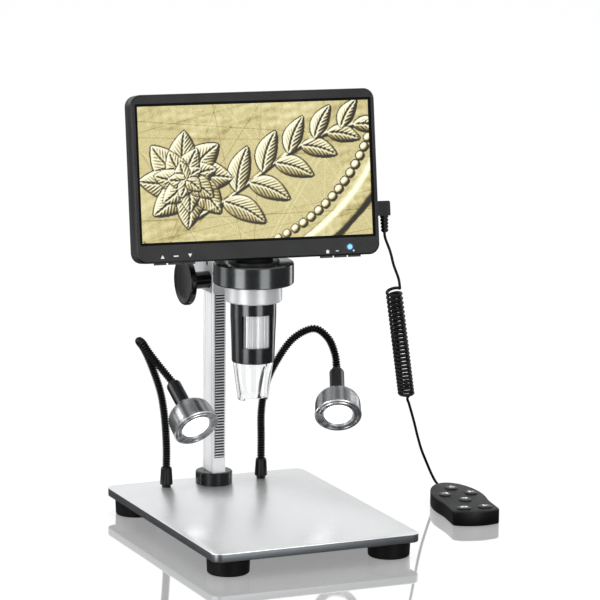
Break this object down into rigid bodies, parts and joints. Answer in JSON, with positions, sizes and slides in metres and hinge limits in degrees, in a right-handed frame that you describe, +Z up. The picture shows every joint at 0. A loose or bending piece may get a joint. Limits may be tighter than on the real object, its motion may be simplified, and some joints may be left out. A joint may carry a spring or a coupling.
{
  "type": "lcd digital microscope",
  "caption": "Desk microscope with a tilting screen on a rack-and-pinion column, a focus tube with a clear cap, gooseneck lamps and a wired remote.",
  "frame": {"origin": "on the desk under the middle of the stage plate", "axes": "+X to the right seen from the front, -Y towards the viewer of the screen, +Z up"},
  "size_m": [0.2465, 0.19, 0.2859],
  "materials": {
    "stage": "pale silver satin",
    "rubber": "matt black rubber",
    "steel": "plain steel",
    "bar": "satin anodised",
    "rack_metal": "machined",
    "black_metal": "satin black",
    "block": "machined satin",
    "ring": "dark grey anodised",
    "knob": "gloss black",
    "trim": "bright satin",
    "black_plastic": "satin black",
    "bezel": "charcoal satin",
    "clear": "clear acrylic",
    "lens": "polished",
    "screen": "lit display",
    "board": "solder mask",
    "cell_wrap": "foil wrap",
    "light": "lit blue",
    "lamp_metal": "brushed",
    "lamp_lens": "frosted, lit white",
    "remote_shell": "fine grain black",
    "key": "satin black",
    "cord": "satin black jacket"
  },
  "bodies": {
    "stand": {"base_plate": "stage", "rubber_feet": "rubber", "base_screws": "steel", "column": "bar", "rack": "rack_metal", "column_flange": "black_metal", "lamp_boots": "rubber", "remote_top": "remote_shell", "remote_bottom": "remote_shell", "remote_board": "board", "cord_lower": "cord"},
    "carriage": {"carriage_block": "block", "carriage_screws": "steel", "ring_holder": "ring", "cord_coil": "cord"},
    "knob": {"pinion_shaft": "steel", "focus_knob": "knob"},
    "head": {"head_neck": "black_plastic", "trim_ring": "trim", "tube_barrel": "black_plastic", "lens_cell": "black_metal", "lens_glass": "lens", "sensor_board": "board", "led_ring": "board", "clear_cap": "clear"},
    "wheel": {"focus_wheel": "trim"},
    "monitor": {"front_bezel": "bezel", "rear_cover": "bezel", "lcd_panel": "screen", "main_board": "board", "battery": "cell_wrap", "cover_screws": "steel", "power_light": "light", "remote_socket": "black_plastic", "remote_plug": "black_plastic", "plug_relief": "cord", "tilt_pin": "steel", "cord_upper": "cord"},
    "lamp_left": {"gooseneck_left": "black_metal", "lamp_sleeve_left": "black_metal", "lamp_head_left": "lamp_metal", "lamp_led_left": "board", "lamp_lens_left": "lamp_lens"},
    "lamp_right": {"gooseneck_right": "black_metal", "lamp_sleeve_right": "black_metal", "lamp_head_right": "lamp_metal", "lamp_led_right": "board", "lamp_lens_right": "lamp_lens"},
    "key_up_body": {"key_up": "key"},
    "key_select_body": {"key_select": "key"},
    "key_down_body": {"key_down": "key"},
    "key_menu_body": {"key_menu": "key"},
    "key_mode_body": {"key_mode": "key"},
    "key_power_body": {"key_power": "key"},
    "remote_key_up_body": {"remote_key_up": "key"},
    "remote_key_left_body": {"remote_key_left": "key"},
    "remote_key_right_body": {"remote_key_right": "key"},
    "remote_key_down_body": {"remote_key_down": "key"},
    "remote_key_snap_body": {"remote_key_snap": "key"},
    "remote_key_play_body": {"remote_key_play": "key"}
  },
  "joints": [
    {"name": "carriage_slide", "type": "slide", "parent": "stand", "child": "carriage", "axis": [0, 0, 1], "range_m": [-0.025, 0.038], "deforming": ["cord_coil"]},
    {"name": "knob_turn", "type": "hinge", "parent": "carriage", "child": "knob", "pos_m": [0, 0.06325, 0.1569], "axis": [-1, 0, 0], "range_deg": [-305, 460]},
    {"name": "head_swivel", "type": "hinge", "parent": "carriage", "child": "head", "pos_m": [0, 0.0125, 0.1699], "axis": [0, 0, 1], "range_deg": [-20, 20]},
    {"name": "focus_wheel_turn", "type": "hinge", "parent": "head", "child": "wheel", "pos_m": [0, 0.0125, 0.1328], "axis": [0, 0, 1], "range_deg": [-150, 150]},
    {"name": "monitor_tilt", "type": "hinge", "parent": "head", "child": "monitor", "pos_m": [0.00091, 0.01944, 0.2002], "axis": [-0.9914, 0.1305, 0], "range_deg": [0, 25]},
    {"name": "lamp_left_swing", "type": "hinge", "parent": "stand", "child": "lamp_left", "pos_m": [-0.034, 0.078, 0.026], "axis": [0, 0, 1], "range_deg": [-40, 10]},
    {"name": "lamp_right_swing", "type": "hinge", "parent": "stand", "child": "lamp_right", "pos_m": [0.034, 0.078, 0.026], "axis": [0, 0, 1], "range_deg": [-10, 40]},
    {"name": "key_up_press", "type": "slide", "parent": "monitor", "child": "key_up_body", "axis": [0.0227, 0.1722, 0.9848], "range_m": [0, 0.0005], "stiffness_N_per_m": 400, "springref_m": -0.0005},
    {"name": "key_select_press", "type": "slide", "parent": "monitor", "child": "key_select_body", "axis": [0.0227, 0.1722, 0.9848], "range_m": [0, 0.0005], "stiffness_N_per_m": 400, "springref_m": -0.0005},
    {"name": "key_down_press", "type": "slide", "parent": "monitor", "child": "key_down_body", "axis": [0.0227, 0.1722, 0.9848], "range_m": [0, 0.0005], "stiffness_N_per_m": 400, "springref_m": -0.0005},
    {"name": "key_menu_press", "type": "slide", "parent": "monitor", "child": "key_menu_body", "axis": [0.0227, 0.1722, 0.9848], "range_m": [0, 0.0005], "stiffness_N_per_m": 400, "springref_m": -0.0005},
    {"name": "key_mode_press", "type": "slide", "parent": "monitor", "child": "key_mode_body", "axis": [0.0227, 0.1722, 0.9848], "range_m": [0, 0.0005], "stiffness_N_per_m": 400, "springref_m": -0.0005},
    {"name": "key_power_press", "type": "slide", "parent": "monitor", "child": "key_power_body", "axis": [0.0227, 0.1722, 0.9848], "range_m": [0, 0.0005], "stiffness_N_per_m": 400, "springref_m": -0.0005},
    {"name": "remote_key_up_press", "type": "slide", "parent": "stand", "child": "remote_key_up_body", "axis": [0, 0, -1], "range_m": [0, 0.0006], "stiffness_N_per_m": 400, "springref_m": -0.0005},
    {"name": "remote_key_left_press", "type": "slide", "parent": "stand", "child": "remote_key_left_body", "axis": [0, 0, -1], "range_m": [0, 0.0006], "stiffness_N_per_m": 400, "springref_m": -0.0005},
    {"name": "remote_key_right_press", "type": "slide", "parent": "stand", "child": "remote_key_right_body", "axis": [0, 0, -1], "range_m": [0, 0.0006], "stiffness_N_per_m": 400, "springref_m": -0.0005},
    {"name": "remote_key_down_press", "type": "slide", "parent": "stand", "child": "remote_key_down_body", "axis": [0, 0, -1], "range_m": [0, 0.0006], "stiffness_N_per_m": 400, "springref_m": -0.0005},
    {"name": "remote_key_snap_press", "type": "slide", "parent": "stand", "child": "remote_key_snap_body", "axis": [0, 0, -1], "range_m": [0, 0.0006], "stiffness_N_per_m": 400, "springref_m": -0.0005},
    {"name": "remote_key_play_press", "type": "slide", "parent": "stand", "child": "remote_key_play_body", "axis": [0, 0, -1], "range_m": [0, 0.0006], "stiffness_N_per_m": 400, "springref_m": -0.0005}
  ],
  "couplings": [
    {"joint": "knob_turn", "follows": "carriage_slide", "rad_per_m": 208.33}
  ]
}
